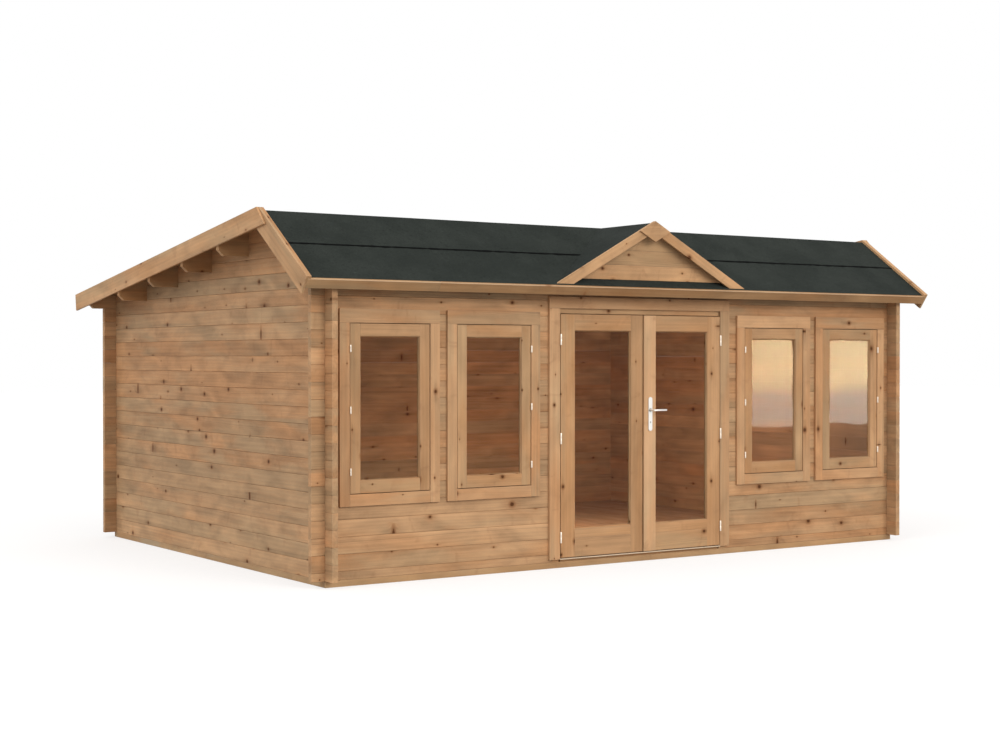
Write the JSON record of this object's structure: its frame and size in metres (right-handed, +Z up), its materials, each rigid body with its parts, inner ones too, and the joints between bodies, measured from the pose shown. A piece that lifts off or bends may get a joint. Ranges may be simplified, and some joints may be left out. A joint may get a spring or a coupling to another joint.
{
  "type": "log cabin",
  "caption": "Garden log cabin with interlocking log walls, an asymmetric felted gable roof, a false dormer, side-hung windows and glazed doors that open outwards.",
  "frame": {"origin": "middle of the wall footprint at ground level, under the middle floor joist", "axes": "+X to the right along the front, +Y from the front to the back, +Z up; the doors face -Y"},
  "size_m": [6.096, 4.465, 2.661],
  "materials": {
    "log_timber": "planed spruce, lightly weathered",
    "trim_timber": "planed spruce boards",
    "joinery_timber": "planed spruce joinery",
    "roof_timber": "sawn spruce roof boards and purlins",
    "bearer_timber": "pressure treated softwood",
    "floor_boards": "planed tongued floor boards",
    "roofing_felt": "mineral bitumen felt",
    "clear_glass": "clear float glass",
    "hinge_steel": "zinc plated",
    "handle_metal": "satin",
    "threshold_aluminium": "mill finish"
  },
  "bodies": {
    "cabin": {"base_bearers": "bearer_timber", "floor_joists": "bearer_timber", "floor": "floor_boards", "left_wall": "log_timber", "right_wall": "log_timber", "back_wall": "log_timber", "front_wall_left": "log_timber", "front_wall_right": "log_timber", "front_wall_header": "log_timber", "left_gable": "log_timber", "right_gable": "log_timber", "purlins": "roof_timber", "front_roof_deck": "roof_timber", "rear_roof_deck": "roof_timber", "dormer_roof_deck": "roof_timber", "front_roof_felt": "roofing_felt", "rear_roof_felt": "roofing_felt", "dormer_roof_felt": "roofing_felt", "left_bargeboards": "trim_timber", "right_bargeboards": "trim_timber", "verge_strips": "trim_timber", "front_fascia": "trim_timber", "rear_fascia": "trim_timber", "dormer_cladding": "trim_timber", "dormer_bargeboards": "trim_timber", "dormer_apex_diamond": "trim_timber", "window_frames": "joinery_timber", "window_trims": "trim_timber", "left_window_sashes": "joinery_timber", "right_window_sashes": "joinery_timber", "window_glass": "clear_glass", "window_hinges": "hinge_steel", "door_frame": "joinery_timber", "door_trim": "trim_timber", "door_sill": "joinery_timber", "threshold_strip": "threshold_aluminium", "door_hinge_pins": "hinge_steel"},
    "left_door": {"left_door_leaf": "joinery_timber", "left_door_glass": "clear_glass", "left_door_hinges": "hinge_steel"},
    "right_door": {"right_door_leaf": "joinery_timber", "right_door_glass": "clear_glass", "right_door_hinges": "hinge_steel", "meeting_strip": "joinery_timber", "handle_plates": "handle_metal"},
    "lever": {"door_lever": "handle_metal"}
  },
  "joints": [
    {"name": "left_door_hinge", "type": "hinge", "parent": "cabin", "child": "left_door", "pos_m": [-0.795, -2.027, 1], "axis": [0, 0, -1], "range_deg": [0, 105]},
    {"name": "right_door_hinge", "type": "hinge", "parent": "cabin", "child": "right_door", "pos_m": [0.795, -2.027, 1], "axis": [0, 0, 1], "range_deg": [0, 105]},
    {"name": "lever_turn", "type": "hinge", "parent": "right_door", "child": "lever", "pos_m": [0.0615, -2.03, 1.182], "axis": [0, 1, 0], "range_deg": [0, 40], "stiffness_Nm_per_rad": 1.2, "springref_deg": -20.05}
  ]
}
